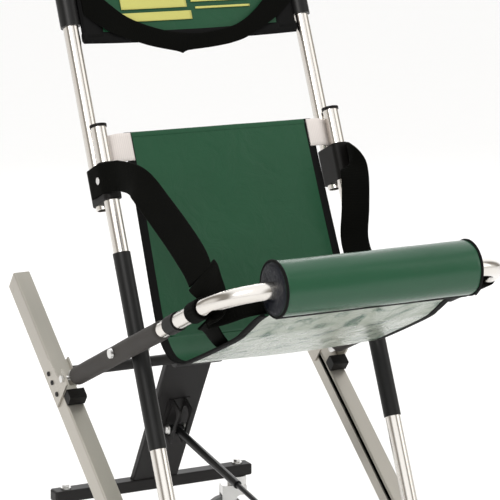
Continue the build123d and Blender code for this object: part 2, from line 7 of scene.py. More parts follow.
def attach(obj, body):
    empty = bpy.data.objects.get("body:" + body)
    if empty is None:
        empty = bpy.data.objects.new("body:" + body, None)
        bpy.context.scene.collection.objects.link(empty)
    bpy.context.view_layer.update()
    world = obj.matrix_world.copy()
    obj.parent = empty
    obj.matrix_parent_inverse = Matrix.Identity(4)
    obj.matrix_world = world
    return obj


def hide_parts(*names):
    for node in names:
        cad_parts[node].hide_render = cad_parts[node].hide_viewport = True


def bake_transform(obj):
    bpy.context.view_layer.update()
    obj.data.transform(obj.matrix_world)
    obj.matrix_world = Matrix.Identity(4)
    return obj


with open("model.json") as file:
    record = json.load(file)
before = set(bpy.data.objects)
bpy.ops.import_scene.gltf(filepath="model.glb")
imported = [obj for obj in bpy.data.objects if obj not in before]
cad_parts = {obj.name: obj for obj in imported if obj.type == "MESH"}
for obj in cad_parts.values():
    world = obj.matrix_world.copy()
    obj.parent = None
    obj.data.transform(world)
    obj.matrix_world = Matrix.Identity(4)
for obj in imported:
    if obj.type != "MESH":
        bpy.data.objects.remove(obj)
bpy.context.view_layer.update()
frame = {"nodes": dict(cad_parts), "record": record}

# ------------------------------------------------------------------ the chair's own frame
LEAN = math.radians(24.2)
AXLE = Vector((0, -0.19054, 0.090))
UP = Vector((0, math.sin(LEAN), math.cos(LEAN)))       # along the uprights
BACK = Vector((0, math.cos(LEAN), -math.sin(LEAN)))    # square to them, towards the rear
RIGHT = Vector((1, 0, 0))
ARM_X, SEAT_S = 0.240, 0.420            # arm tube: across, and up the uprights
SIDES = (("left", 1), ("right", -1))


def at(x, s, t):
    """Point from chair measures in metres: across, up the uprights, behind them."""
    return AXLE + RIGHT * x + UP * s + BACK * t


# ------------------------------------------------------------------ materials
def material(name, color, rough=0.5, metal=0.0, vary=0.06, bump=0.1, bump_scale=600.0,
             bump_distance=0.0002, streak=None, spec=0.5, wear=0.0):
    """Procedural surface: tinted by slow noise, roughness broken up, fine bump, optional streaks."""
    m = bpy.data.materials.new(name)
    m.use_nodes = True
    nt = m.node_tree
    p = nt.nodes["Principled BSDF"]
    p.inputs["Metallic"].default_value = metal
    p.inputs["Specular IOR Level"].default_value = spec
    tc = nt.nodes.new("ShaderNodeTexCoord")
    mp = nt.nodes.new("ShaderNodeMapping")
    nt.links.new(tc.outputs["Object"], mp.inputs["Vector"])
    if streak:
        mp.inputs["Scale"].default_value = streak
    slow = nt.nodes.new("ShaderNodeTexNoise")
    slow.inputs["Scale"].default_value = 14.0
    slow.inputs["Detail"].default_value = 5.0
    nt.links.new(mp.outputs["Vector"], slow.inputs["Vector"])
    ramp = nt.nodes.new("ShaderNodeValToRGB")
    ramp.color_ramp.elements[0].position = 0.3
    ramp.color_ramp.elements[1].position = 0.7
    ramp.color_ramp.elements[0].color = tuple(c * (1 - vary) for c in color) + (1,)
    ramp.color_ramp.elements[1].color = tuple(min(1, c * (1 + vary)) for c in color) + (1,)
    nt.links.new(slow.outputs["Fac"], ramp.inputs["Fac"])
    nt.links.new(ramp.outputs["Color"], p.inputs["Base Color"])
    rr = nt.nodes.new("ShaderNodeMapRange")
    rr.inputs["To Min"].default_value = max(0.02, rough - 0.06 - wear)
    rr.inputs["To Max"].default_value = min(1.0, rough + 0.08 + wear)
    nt.links.new(slow.outputs["Fac"], rr.inputs["Value"])
    nt.links.new(rr.outputs["Result"], p.inputs["Roughness"])
    bn = nt.nodes.new("ShaderNodeTexNoise")
    bn.inputs["Scale"].default_value = bump_scale
    nt.links.new(mp.outputs["Vector"], bn.inputs["Vector"])
    bp = nt.nodes.new("ShaderNodeBump")
    bp.inputs["Strength"].default_value = bump
    bp.inputs["Distance"].default_value = bump_distance
    nt.links.new(bn.outputs["Fac"], bp.inputs["Height"])
    nt.links.new(bp.outputs["Normal"], p.inputs["Normal"])
    return m


def woven(name, color, pitch, rough=0.7, depth=0.0004, contrast=0.25, spec=0.4,
          ribs=False, coat=0.0, crease=0.0, stain=None):
    """Cloth or webbing from UV in metres: two crossed waves, or ribs along the strap."""
    m = bpy.data.materials.new(name)
    m.use_nodes = True
    nt = m.node_tree
    p = nt.nodes["Principled BSDF"]
    p.inputs["Roughness"].default_value = rough
    p.inputs["Specular IOR Level"].default_value = spec
    p.inputs["Coat Weight"].default_value = coat
    p.inputs["Coat Roughness"].default_value = 0.25
    uv = nt.nodes.new("ShaderNodeUVMap")
    waves = []
    for axis in ("X", "Y"):
        w = nt.nodes.new("ShaderNodeTexWave")
        w.bands_direction = axis
        scale = 1.0 / pitch / 6.283 * 2         # two threads to each pitch
        w.inputs["Scale"].default_value = scale * (0.5 if ribs and axis == "Y" else 1.0)
        w.inputs["Distortion"].default_value = 0.4
        nt.links.new(uv.outputs["UV"], w.inputs["Vector"])
        waves.append(w)
    mix = nt.nodes.new("ShaderNodeMath")
    mix.operation = "MULTIPLY"
    nt.links.new(waves[0].outputs["Fac"], mix.inputs[0])
    nt.links.new(waves[1].outputs["Fac"], mix.inputs[1])
    tc = nt.nodes.new("ShaderNodeTexCoord")
    slow = nt.nodes.new("ShaderNodeTexNoise")
    slow.inputs["Scale"].default_value = 9.0
    slow.inputs["Detail"].default_value = 6.0
    nt.links.new(tc.outputs["Object"], slow.inputs["Vector"])
    add = nt.nodes.new("ShaderNodeMath")
    add.operation = "ADD"
    nt.links.new(mix.outputs[0], add.inputs[0])
    nt.links.new(slow.outputs["Fac"], add.inputs[1])
    ramp = nt.nodes.new("ShaderNodeValToRGB")
    ramp.color_ramp.elements[0].position = 0.3
    ramp.color_ramp.elements[1].position = 1.0
    ramp.color_ramp.elements[0].color = tuple(c * (1 - contrast) for c in color) + (1,)
    ramp.color_ramp.elements[1].color = tuple(min(1, c * (1 + contrast)) for c in color) + (1,)
    nt.links.new(add.outputs[0], ramp.inputs["Fac"])
    tone = ramp.outputs["Color"]
    if stain:
        streaks = nt.nodes.new("ShaderNodeTexNoise")
        streaks.inputs["Scale"].default_value = 15.0
        streaks.inputs["Detail"].default_value = 5.0
        streaks.inputs["Distortion"].default_value = 2.2
        nt.links.new(tc.outputs["Object"], streaks.inputs["Vector"])
        cut = nt.nodes.new("ShaderNodeValToRGB")
        cut.color_ramp.elements[0].position = 0.50
        cut.color_ramp.elements[0].color = (0, 0, 0, 1)
        cut.color_ramp.elements[1].position = 0.70
        cut.color_ramp.elements[1].color = (1, 1, 1, 1)
        nt.links.new(streaks.outputs["Fac"], cut.inputs["Fac"])
        blend = nt.nodes.new("ShaderNodeMix")
        blend.data_type = "RGBA"
        for key in blend.inputs:
            if key.name == "A" and key.type == "RGBA":
                nt.links.new(tone, key)
            if key.name == "B" and key.type == "RGBA":
                key.default_value = stain + (1,)
        nt.links.new(cut.outputs["Color"], blend.inputs[0])
        tone = [q for q in blend.outputs if q.type == "RGBA"][0]
    nt.links.new(tone, p.inputs["Base Color"])
    b1 = nt.nodes.new("ShaderNodeBump")
    b1.inputs["Strength"].default_value = 0.5
    b1.inputs["Distance"].default_value = depth
    nt.links.new(mix.outputs[0], b1.inputs["Height"])
    last = b1
    if crease:
        cr = nt.nodes.new("ShaderNodeTexNoise")
        cr.inputs["Scale"].default_value = 22.0
        cr.inputs["Detail"].default_value = 4.0
        cr.inputs["Distortion"].default_value = 1.2
        nt.links.new(tc.outputs["Object"], cr.inputs["Vector"])
        b2 = nt.nodes.new("ShaderNodeBump")
        b2.inputs["Strength"].default_value = 0.6
        b2.inputs["Distance"].default_value = crease
        nt.links.new(cr.outputs["Fac"], b2.inputs["Height"])
        nt.links.new(b1.outputs["Normal"], b2.inputs["Normal"])
        last = b2
    nt.links.new(last.outputs["Normal"], p.inputs["Normal"])
    return m


TUBE = material("tube_metal", (0.72, 0.69, 0.65), rough=0.17, metal=1.0, vary=0.03, bump=0.05,
                streak=(1, 0.12, 0.12))
RAIL = material("rail_metal", (0.435, 0.41, 0.365), rough=0.38, metal=0.75, vary=0.06, bump=0.12,
                bump_scale=1500, streak=(1, 0.2, 0.2))
BRIGHT = material("bright_metal", (0.66, 0.655, 0.64), rough=0.30, metal=1.0, vary=0.06, bump=0.1)
DARK = material("dark_metal", (0.013, 0.012, 0.012), rough=0.5, vary=0.2, bump=0.15, spec=0.25,
                bump_scale=900, wear=0.05)
PLASTIC = material("black_plastic", (0.005, 0.0045, 0.004), rough=0.5, vary=0.2, bump=0.3,
                   bump_scale=1400, spec=0.16)
SLEEVE = material("black_sleeve", (0.008, 0.008, 0.008), rough=0.36, vary=0.15, bump=0.12,
                  spec=0.24)
FOAM = material("black_foam", (0.008, 0.008, 0.0075), rough=0.9, vary=0.2, bump=0.6,
                bump_scale=1100, bump_distance=0.0004, spec=0.12)
ARM_FOAM = material("arm_foam", (0.036, 0.032, 0.029), rough=0.62, vary=0.16, bump=0.5,
                    bump_scale=1000, bump_distance=0.0004, spec=0.25)
BELT = material("belt_rubber", (0.008, 0.008, 0.008), rough=0.75, vary=0.2, bump=0.4, spec=0.15)
WHEEL = material("wheel_rubber", (0.16, 0.16, 0.16), rough=0.6, vary=0.12, bump=0.3)
HUB = material("grey_plastic", (0.20, 0.20, 0.20), rough=0.5, vary=0.08, bump=0.2)
STRUT = material("strut_black", (0.008, 0.008, 0.0085), rough=0.32, vary=0.1, bump=0.06, spec=0.3)
GREEN = woven("sling_green", (0.0125, 0.066, 0.030), 0.0012, rough=0.34, depth=0.0001,
              contrast=0.10, spec=0.26, crease=0.0026)
PALE = woven("sling_underside", (0.30, 0.34, 0.28), 0.0012, rough=0.24, depth=0.0001,
             contrast=0.12, coat=0.35, crease=0.014, stain=(0.03, 0.09, 0.055))
ROLL = woven("bolster_green", (0.0135, 0.070, 0.0335), 0.0012, rough=0.22, depth=0.00008,
             contrast=0.08, spec=0.42, crease=0.0010)
BLACK_WEB = woven("black_webbing", (0.0018, 0.0019, 0.0014), 0.0022, rough=0.85, depth=0.0004,
                  contrast=0.4, spec=0.06, ribs=True)
PALE_WEB = woven("pale_webbing", (0.66, 0.61, 0.58), 0.0016, rough=0.7, depth=0.0003,
                 contrast=0.1, ribs=True, spec=0.2)
BINDING = woven("black_binding", (0.0034, 0.0034, 0.0034), 0.0014, rough=0.75, depth=0.0003,
                contrast=0.35, spec=0.12)
NAVY = woven("bolster_end", (0.0035, 0.0045, 0.0085), 0.0016, rough=0.35, depth=0.0003,
             contrast=0.2, spec=0.18, crease=0.006)
YELLOW = woven("reflective_yellow", (0.50, 0.48, 0.135), 0.0014, rough=0.45, depth=0.0002,
               contrast=0.08, spec=0.3)

SLOTS = {"tube_metal": TUBE, "rail_metal": RAIL, "bright_metal": BRIGHT, "dark_metal": DARK,
         "black_plastic": PLASTIC, "black_sleeve": SLEEVE, "black_foam": FOAM,
         "arm_foam": ARM_FOAM, "belt_rubber": BELT, "wheel_rubber": WHEEL, "grey_plastic": HUB,
         "strut_black": STRUT, "pale_webbing": PALE_WEB, "black_webbing": BLACK_WEB,
         "sling_fabric": GREEN}

for entry in frame["record"]["subparts"]:
    node = frame["nodes"][entry["node"]]
    node.data.materials.clear()
    node.data.materials.append(SLOTS[entry["material_slot"]])


# ------------------------------------------------------------------ mesh helpers
def build(name, verts, faces, mats, uvs=None, face_mats=None):
    """Smooth mesh from lists; uvs holds one (u, v) per vertex."""
    me = bpy.data.meshes.new(name)
    me.from_pydata([tuple(v) for v in verts], [], faces)
    for m in mats:
        me.materials.append(m)
    if uvs:
        layer = me.uv_layers.new(name="UVMap")
        for loop in me.loops:
            layer.data[loop.index].uv = uvs[loop.vertex_index]
    for i, f in enumerate(me.polygons):
        f.use_smooth = True
        if face_mats:
            f.material_index = face_mats[i]
    me.update()
    ob = bpy.data.objects.new(name, me)
    bpy.context.scene.collection.objects.link(ob)
    return ob


def smooth_path(points, step=0.004):
    """Catmull-Rom curve through points, sampled about every step metres."""
    pts = [Vector(p) for p in points]
    pts = [pts[0] * 2 - pts[1]] + pts + [pts[-1] * 2 - pts[-2]]
    out = []
    for i in range(1, len(pts) - 2):
        p0, p1, p2, p3 = pts[i - 1:i + 3]
        n = max(2, int((p2 - p1).length / step))
        for k in range(n):
            t = k / n
            out.append(0.5 * ((2 * p1) + (p2 - p0) * t + (2 * p0 - 5 * p1 + 4 * p2 - p3) * t * t
                              + (3 * p1 - p0 - 3 * p2 + p3) * t ** 3))
    out.append(pts[-2])
    return out


def ribbon(name, path, width, thick, across, mats, cells=10, lift=None):
    """Strap of webbing along path: flat faces, rounded edges, optional wobble from lift(u, v)."""
    n = len(path)
    run = [0.0]
    for a, b in zip(path, path[1:]):
        run.append(run[-1] + (b - a).length)
    half = [width / 2 - thick / 2 - (width - thick) * i / cells for i in range(cells + 1)]
    ring = [(a, thick / 2) for a in half] + [(-width / 2, 0.0)]
    ring += [(a, -thick / 2) for a in reversed(half)] + [(width / 2, 0.0)]
    verts, uvs, faces = [], [], []
    for i, p in enumerate(path):
        tangent = (path[min(i + 1, n - 1)] - path[max(i - 1, 0)]).normalized()
        w = across[i] if isinstance(across, list) else across
        w = (w - tangent * w.dot(tangent)).normalized()
        normal = tangent.cross(w).normalized()
        for a, b in ring:
            extra = lift(a, run[i], run[-1]) if lift else 0.0
            verts.append(p + w * a + normal * (b + extra))
            uvs.append((a, run[i]))
    k = len(ring)
    for i in range(n - 1):
        for j in range(k):
            q = (j + 1) % k
            faces.append((i * k + j, i * k + q, (i + 1) * k + q, (i + 1) * k + j))
    faces.append(tuple(range(k))[::-1])
    faces.append(tuple((n - 1) * k + j for j in range(k)))
    ob = build(name, verts, faces, mats, uvs)
    ob.data.polygons[-1].use_smooth = False
    ob.data.polygons[-2].use_smooth = False
    return ob


def ring_cord(name, path, radius, mats, sides=12):
    """Round piping along a closed path."""
    n = len(path)
    verts, uvs, faces = [], [], []
    for i, p in enumerate(path):
        tangent = (path[(i + 1) % n] - path[(i - 1) % n]).normalized()
        side = tangent.cross(Vector((0.31, 0.52, 0.79))).normalized()
        other = tangent.cross(side)
        for j in range(sides):
            an = 2 * math.pi * j / sides
            verts.append(p + (side * math.cos(an) + other * math.sin(an)) * radius)
            uvs.append((j / sides * 0.02, i * 0.004))
    for i in range(n):
        for j in range(sides):
            q = (i + 1) % n
            faces.append((i * sides + j, i * sides + (j + 1) % sides,
                          q * sides + (j + 1) % sides, q * sides + j))
    return build(name, verts, faces, mats, uvs)


def lathe(name, origin, axis, profile, mats, wobble=None, sides=72, mat_of=None):
    """Solid of revolution from (distance along axis, radius) pairs; wobble(a, along) adds radius."""
    axis = axis.normalized()
    u = axis.orthogonal().normalized()
    w = axis.cross(u)
    verts, uvs, faces, fm = [], [], [], []
    for d, r in profile:
        for j in range(sides):
            an = 2 * math.pi * j / sides
            rr = r + (wobble(an, d) if wobble and r > 1e-4 else 0.0)
            verts.append(origin + axis * d + (u * math.cos(an) + w * math.sin(an)) * rr)
            uvs.append((an * max(r, 0.01), d))
    for i in range(len(profile) - 1):
        for j in range(sides):
            q = (j + 1) % sides
            faces.append((i * sides + j, i * sides + q, (i + 1) * sides + q, (i + 1) * sides + j))
            fm.append(mat_of(i) if mat_of else 0)
    return build(name, verts, faces, mats, uvs, fm)


def ride_as(piece, body):
    """Piece moves with body."""
    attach(piece, body)


# ------------------------------------------------------------------ sling: one sheet
SLING_HALF = 0.166
profile_s_t = [(0.767, 0.000), (0.470, -0.002), (0.430, -0.006), (0.400, -0.024),
               (0.384, -0.055), (0.3795, -0.095), (0.3795, -0.235), (0.384, -0.275),
               (0.3915, -0.315), (0.394, -0.345)]
sling_line = smooth_path([at(0, s, t) for s, t in profile_s_t], 0.0045)
NU = 48                                     # cells across the sling


def sling_normal(i):
    t = (sling_line[min(i + 1, len(sling_line) - 1)] - sling_line[max(i - 1, 0)]).normalized()
    return t.cross(RIGHT).normalized()      # towards the sitter


run_total = sum((b - a).length for a, b in zip(sling_line, sling_line[1:]))


def sling_sag(u, v):
    """Shallow dish and slow ripples, in metres, away from the sitter. u -1..1, v 0..1."""
    dish = 0.0035 * (1 - u * u) * math.sin(math.pi * min(1, max(0, v)))
    ripple = 0.0016 * noise.noise(Vector((u * 2.1, v * 6.0, 3.3)))
    front = max(0.0, (v - 0.80) / 0.20)
    folds = 0.0045 * front * noise.noise(Vector((u * 5.5, v * 9.0, 8.1)))
    return -dish + (ripple + folds) * (1 - abs(u) ** 6)


def sling_width(v):
    return SLING_HALF + 0.006 * math.sin(math.pi * v) ** 2


def sling_point(u, i, lift=0.0):
    v = i / (len(sling_line) - 1)
    away = sling_sag(u, v) + lift
    return sling_line[i] + RIGHT * u * sling_width(v) + sling_normal(i) * away


THIN = 0.0011                               # half the cloth's drawn thickness
verts, uvs, faces, fm = [], [], [], []
rows = len(sling_line)
for side in (1, -1):
    for i in range(rows):
        for j in range(NU + 1):
            u = -1 + 2 * j / NU
            verts.append(sling_point(u, i, side * THIN))
            uvs.append((u * SLING_HALF, i / (rows - 1) * run_total))
half_count = rows * (NU + 1)
for i in range(rows - 1):
    for j in range(NU):
        a = i * (NU + 1) + j
        b, c, d = a + 1, a + NU + 2, a + NU + 1
        faces.append((a, b, c, d))
        fm.append(0)
        faces.append(tuple(half_count + q for q in (d, c, b, a)))
        fm.append(1)
edge = [(i * (NU + 1), (i + 1) * (NU + 1)) for i in range(rows - 1)]
edge += [((i + 1) * (NU + 1) + NU, i * (NU + 1) + NU) for i in range(rows - 1)]
edge += [(j + 1, j) for j in range(NU)]
edge += [((rows - 1) * (NU + 1) + j, (rows - 1) * (NU + 1) + j + 1) for j in range(NU)]
for a, b in edge:
    faces.append((a, b, half_count + b, half_count + a))
    fm.append(0)
sling = build("sling", verts, faces, [GREEN, PALE], uvs, fm)
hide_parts("sling_back", "sling_seat")

bindings = []
for side, hand in SIDES:
    path = [sling_point(hand * 1.0, i) - RIGHT * hand * 0.0045 for i in range(rows)]
    b = ribbon("sling_binding_" + side, path, 0.015, 0.0042, RIGHT, [BINDING], cells=3)
    bindings.append(b)
top_path = [sling_point(-1 + 2 * j / 40, 1) for j in range(41)]
hem = ribbon("sling_top_hem", top_path, 0.010, 0.0034, UP, [GREEN], cells=3)
ride_as(hem, "frame")
for ob in [sling] + bindings:
    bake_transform(ob)

# ------------------------------------------------------------------ bolster on the front bar
BOL_S, BOL_T, BOL_R, BOL_HALF = 0.422, -0.388, 0.0405, 0.165
BOL_EDGE = 0.006                            # rounded rim at each end
PIPING_AT = 0.0402                          # radius on which the piping runs


def bolster_wobble(an, d):
    return 0.0007 * noise.noise(Vector((math.cos(an) * 1.6, math.sin(an) * 1.6, d * 14)))


profile = [(-BOL_HALF + 0.001, 0.0), (-BOL_HALF + 0.0002, 0.020), (-BOL_HALF + 0.0005, 0.033),
           (-BOL_HALF + 0.002, 0.0385), (-BOL_HALF + BOL_EDGE, BOL_R)]
profile += [(-BOL_HALF + BOL_EDGE + (2 * BOL_HALF - 2 * BOL_EDGE) * k / 60, BOL_R)
            for k in range(1, 60)]
profile += [(BOL_HALF - BOL_EDGE, BOL_R), (BOL_HALF - 0.002, 0.0385), (BOL_HALF - 0.0005, 0.033),
            (BOL_HALF - 0.0002, 0.020), (BOL_HALF - 0.001, 0.0)]
last_ring = len(profile) - 2
bolster = lathe("bolster_roll", at(0, BOL_S, BOL_T), RIGHT, profile, [ROLL, NAVY],
                wobble=bolster_wobble,
                mat_of=lambda i: 1 if i < 3 or i > last_ring - 3 else 0)
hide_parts("bolster")
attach(bolster, "seat")
for side, hand in SIDES:
    ring = [at(hand * (BOL_HALF - 0.004), BOL_S + PIPING_AT * math.cos(a),
               BOL_T + PIPING_AT * math.sin(a)) for a in [2 * math.pi * k / 96 for k in range(96)]]
    piping = ring_cord("bolster_piping_" + side, ring, 0.0024, [BINDING])
    ride_as(piping, "seat")
seam_path = [at(-BOL_HALF + BOL_EDGE + (2 * BOL_HALF - 2 * BOL_EDGE) * k / 40, BOL_S - 0.0392,
                BOL_T + 0.0125 + 0.0004 * math.sin(k)) for k in range(41)]
under = ribbon("bolster_seam_strip", seam_path, 0.012, 0.0028, BACK, [BINDING], cells=3)
ride_as(under, "seat")

# ------------------------------------------------------------------ headrest panel and strap
PANEL_LOW, PANEL_HIGH, PANEL_X = 0.930, 1.184, 0.1925
verts, uvs, faces, fm = [], [], [], []
PU, PV = 60, 40                             # cells across and up the panel
for side in (1, -1):
    for i in range(PV + 1):
        for j in range(PU + 1):
            u, v = -1 + 2 * j / PU, i / PV
            puff = 0.0016 * (1 - u ** 8) * (1 - (2 * v - 1) ** 8)
            puff += 0.0008 * noise.noise(Vector((u * 3, v * 3, 5)))
            t = 0.030 - side * (0.0028 + puff)
            sag = 0.004 * (1 - u * u) * (1 - v)
            verts.append(at(u * PANEL_X, PANEL_LOW + v * (PANEL_HIGH - PANEL_LOW) - sag, t))
            uvs.append((u * PANEL_X, v * 0.254))
half_count = (PV + 1) * (PU + 1)
for i in range(PV):
    for j in range(PU):
        a = i * (PU + 1) + j
        b, c, d = a + 1, a + PU + 2, a + PU + 1
        faces.append((a, b, c, d))
        faces.append(tuple(half_count + q for q in (d, c, b, a)))
        fm += [1, 1] if abs(-1 + (2 * j + 1) / PU) > 0.82 else [0, 0]
edge = [((i + 1) * (PU + 1), i * (PU + 1)) for i in range(PV)]
edge += [(i * (PU + 1) + PU, (i + 1) * (PU + 1) + PU) for i in range(PV)]
edge += [(j, j + 1) for j in range(PU)]
edge += [(PV * (PU + 1) + j + 1, PV * (PU + 1) + j) for j in range(PU)]
for a, b in edge:
    faces.append((a, half_count + a, half_count + b, b))
    fm.append(1)
panel = build("headrest_cloth", verts, faces, [GREEN, BINDING], uvs, fm)
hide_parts("headrest_panel")
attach(panel, "handle")


def panel_front(x, s, lift=0.0):
    return at(x, s, 0.0243 - lift)


BIND_IN = -0.0058                           # bindings wrap the panel, centred inside it
low = [panel_front(-PANEL_X + 2 * PANEL_X * k / 40, PANEL_LOW + 0.007
                   - 0.004 * (1 - (k / 20 - 1) ** 2), BIND_IN) for k in range(41)]
high = [panel_front(-PANEL_X + 2 * PANEL_X * k / 40, PANEL_HIGH - 0.006, BIND_IN)
        for k in range(41)]
for tag, path in (("lower", low), ("upper", high)):
    b = ribbon("headrest_binding_" + tag, path, 0.022, 0.0124, UP, [BINDING], cells=3)
    ride_as(b, "handle")
for side, hand in SIDES:
    path = [panel_front(hand * (PANEL_X - 0.019), PANEL_LOW + 0.004 + 0.246 * k / 30, BIND_IN)
            for k in range(31)]
    b = ribbon("headrest_binding_" + side, path, 0.040, 0.0126, RIGHT, [BINDING], cells=3)
    ride_as(b, "handle")

# plain reflective patches, with nothing printed on them
for tag, x0, x1, s0, s1 in (("low", -0.126, 0.003, 0.956, 0.971),
                            ("line", 0.012, 0.112, 0.973, 0.977),
                            ("left", -0.120, -0.003, 0.977, 1.010),
                            ("right", 0.006, 0.112, 0.985, 1.012)):
    path = [panel_front(x0 + (x1 - x0) * k / 20, (s0 + s1) / 2, 0.0004) for k in range(21)]
    patch = ribbon("headrest_patch_" + tag, path, s1 - s0, 0.0012, UP, [YELLOW], cells=8)
    ride_as(patch, "handle")

# the head strap's two edges, from the sitter's right to the left
lower = smooth_path([at(*p) for p in (
    (-0.188, 0.972, 0.0225), (-0.165, 0.952, 0.0205), (-0.141, 0.936, 0.0190),
    (-0.088, 0.914, 0.0180), (-0.036, 0.900, 0.0170), (-0.029, 0.8965, 0.0170),
    (-0.020, 0.901, 0.0170), (0.030, 0.905, 0.0170), (0.069, 0.911, 0.0175),
    (0.099, 0.921, 0.0180), (0.150, 0.948, 0.0195), (0.188, 0.976, 0.0225))], 0.005)
upper = smooth_path([at(*p) for p in (
    (-0.188, 1.050, 0.0225), (-0.165, 1.015, 0.0205), (-0.141, 0.986, 0.0185),
    (-0.111, 0.960, 0.0165), (-0.0615, 0.9386, 0.0150), (-0.0095, 0.929, 0.0145),
    (0.0366, 0.9316, 0.0145), (0.0853, 0.9446, 0.0160), (0.134, 0.980, 0.0180),
    (0.188, 1.040, 0.0225))], 0.005)


def along(path, f):
    x = f * (len(path) - 1)
    i = min(int(x), len(path) - 2)
    return path[i].lerp(path[i + 1], x - i)


verts, uvs, faces = [], [], []
N, M = 90, 12                               # cells along and across the strap
for side in (1, -1):
    for i in range(N + 1):
        a, b = along(lower, i / N), along(upper, i / N)
        for j in range(M + 1):
            w = j / M
            round_off = 0.0013 * math.sqrt(max(0.0, 1 - (2 * w - 1) ** 8))
            bow = 0.0012 * math.sin(math.pi * w) * math.sin(i * 0.21)
            verts.append(a.lerp(b, w) - BACK * (side * round_off + bow))
            uvs.append((w * 0.045, i / N * 0.46))
hc = (N + 1) * (M + 1)
for i in range(N):
    for j in range(M):
        a = i * (M + 1) + j
        b, c, d = a + 1, a + M + 2, a + M + 1
        faces.append((a, d, c, b))
        faces.append(tuple(hc + q for q in (b, c, d, a)))
for i in range(N):
    for j in (0, M):
        a, d = i * (M + 1) + j, (i + 1) * (M + 1) + j
        faces.append((a, hc + a, hc + d, d) if j == 0 else (d, hc + d, hc + a, a))
for i in (0, N):
    for j in range(M):
        a, b = i * (M + 1) + j, i * (M + 1) + j + 1
        faces.append((b, hc + b, hc + a, a) if i == 0 else (a, hc + a, hc + b, b))
head_strap = build("head_strap_web", verts, faces, [BLACK_WEB], uvs)
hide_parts("head_strap")
ride_as(head_strap, "handle")

# ------------------------------------------------------------------ foam sleeves and grip
def foam(name, origin, axis, length, radius, inner, body, node, mat, lump=0.0004):
    """Foam sleeve with rounded ends and a slightly uneven skin."""
    def uneven(a, d):
        return lump * noise.noise(Vector((math.cos(a), math.sin(a), d * 22))) - lump

    prof = [(0.0, inner), (0.0, radius - 0.003), (0.0008, radius - 0.001), (0.003, radius)]
    steps = max(8, int(length / 0.006))
    prof += [(0.003 + (length - 0.006) * k / steps, radius) for k in range(1, steps)]
    prof += [(length - 0.003, radius), (length - 0.0008, radius - 0.001), (length, radius - 0.003),
             (length, inner)]
    ob = lathe(name, origin, axis, prof, [mat], sides=56, wobble=uneven)
    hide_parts(node)
    ride_as(ob, body)


for side, hand in SIDES:
    foam("arm_foam_" + side, at(hand * ARM_X, SEAT_S, -0.165), BACK, 0.353, 0.0155, 0.0127,
         "seat", "arm_sleeve_" + side, ARM_FOAM)
foam("grip_foam", at(-0.118, 1.353, 0.0344), RIGHT, 0.236, 0.017, 0.0125, "handle",
     "handle_grip", FOAM, 0.0005)

# ------------------------------------------------------------------ tabs at the sling's top
for side, hand in SIDES:
    path = smooth_path([at(hand * x, 0.743, t) for x, t in (
        (0.158, -0.0035), (0.170, -0.0035), (0.181, -0.0022), (0.1895, 0.0030),
        (0.1960, 0.0088), (0.2032, 0.0131), (0.2100, 0.0146), (0.2168, 0.0131))], 0.002)
    tab = ribbon("sling_tab_" + side, path, 0.046, 0.0022, UP, [PALE_WEB], cells=8)
    ride_as(tab, "frame")
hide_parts("sling_tabs")

# ------------------------------------------------------------------ arm straps
def turned(keys, n):
    """List of n width directions, eased between (fraction, (right, up, back)) keys."""
    out = []
    for i in range(n):
        f = i / (n - 1)
        k = max(0, min(len(keys) - 2, sum(1 for key in keys if key[0] <= f) - 1))
        (f0, a), (f1, b) = keys[k], keys[k + 1]
        w = min(1.0, max(0.0, (f - f0) / (f1 - f0)))
        w = w * w * (3 - 2 * w)
        c = [p * (1 - w) + q * w for p, q in zip(a, b)]
        out.append(RIGHT * c[0] + UP * c[1] + BACK * c[2])
    return out


def web(name, points, width, keys, body, ripple=0.0012):
    """Black webbing 2.8 mm thick through (across, up, behind) points, turning by keys."""
    path = smooth_path([at(*p) for p in points], 0.004)
    ob = ribbon(name, path, width, 0.0028, turned(keys, len(path)), [BLACK_WEB], cells=8,
                lift=lambda a, v, total: ripple * noise.noise(Vector((a * 30, v * 18, 2))))
    ride_as(ob, body)
    return ob


arm_web = web("arm_strap_web_right",
              [(-0.2256, 0.694, 0.032), (-0.2256, 0.694, 0.002), (-0.2246, 0.6935, -0.0095),
               (-0.2200, 0.6925, -0.0180), (-0.2130, 0.6905, -0.0300), (-0.209, 0.6866, -0.047),
               (-0.209, 0.660, -0.106), (-0.210, 0.606, -0.1615), (-0.213, 0.549, -0.218),
               (-0.218, 0.499, -0.266), (-0.2225, 0.470, -0.288)],
              0.048, [(0.0, (0, 1, 0)), (0.18, (0, 1, 0)), (0.52, (0.775, 0.407, -0.482)),
                      (0.78, (0.72, 0.36, -0.58)), (1.0, (0.50, 0.22, -0.84))], "frame")
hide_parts("arm_strap_right")
arm_web = web("arm_strap_web_left",
              [(0.2256, 0.694, 0.032), (0.2256, 0.694, 0.002), (0.2246, 0.694, -0.0095),
               (0.2195, 0.694, -0.0185), (0.2110, 0.6925, -0.0280), (0.204, 0.687, -0.043),
               (0.197, 0.672, -0.058), (0.194, 0.645, -0.061), (0.190, 0.600, -0.050),
               (0.186, 0.550, -0.034), (0.190, 0.505, -0.042), (0.201, 0.478, -0.078),
               (0.213, 0.464, -0.132), (0.222, 0.458, -0.190), (0.226, 0.462, -0.244)],
              0.045, [(0.0, (0, 1, 0)), (0.12, (0, 1, 0)), (0.30, (0.887, -0.189, -0.42)),
                      (0.60, (0.887, -0.189, -0.42)), (0.75, (1, 0, 0)), (1.0, (0.8, 0, -0.6))],
              "frame")
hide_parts("arm_strap_left")

LOOP_R = 0.0146
for side, hand in SIDES:
    ring = [at(hand * (ARM_X + LOOP_R * math.cos(a)), SEAT_S + LOOP_R * math.sin(a), -0.2955)
            for a in [2 * math.pi * k / 40 for k in range(41)]]
    lp = ribbon("strap_loop_web_" + side, ring, 0.034, 0.003, BACK, [BLACK_WEB], cells=8)
    ride_as(lp, "seat")
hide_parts("strap_loops")
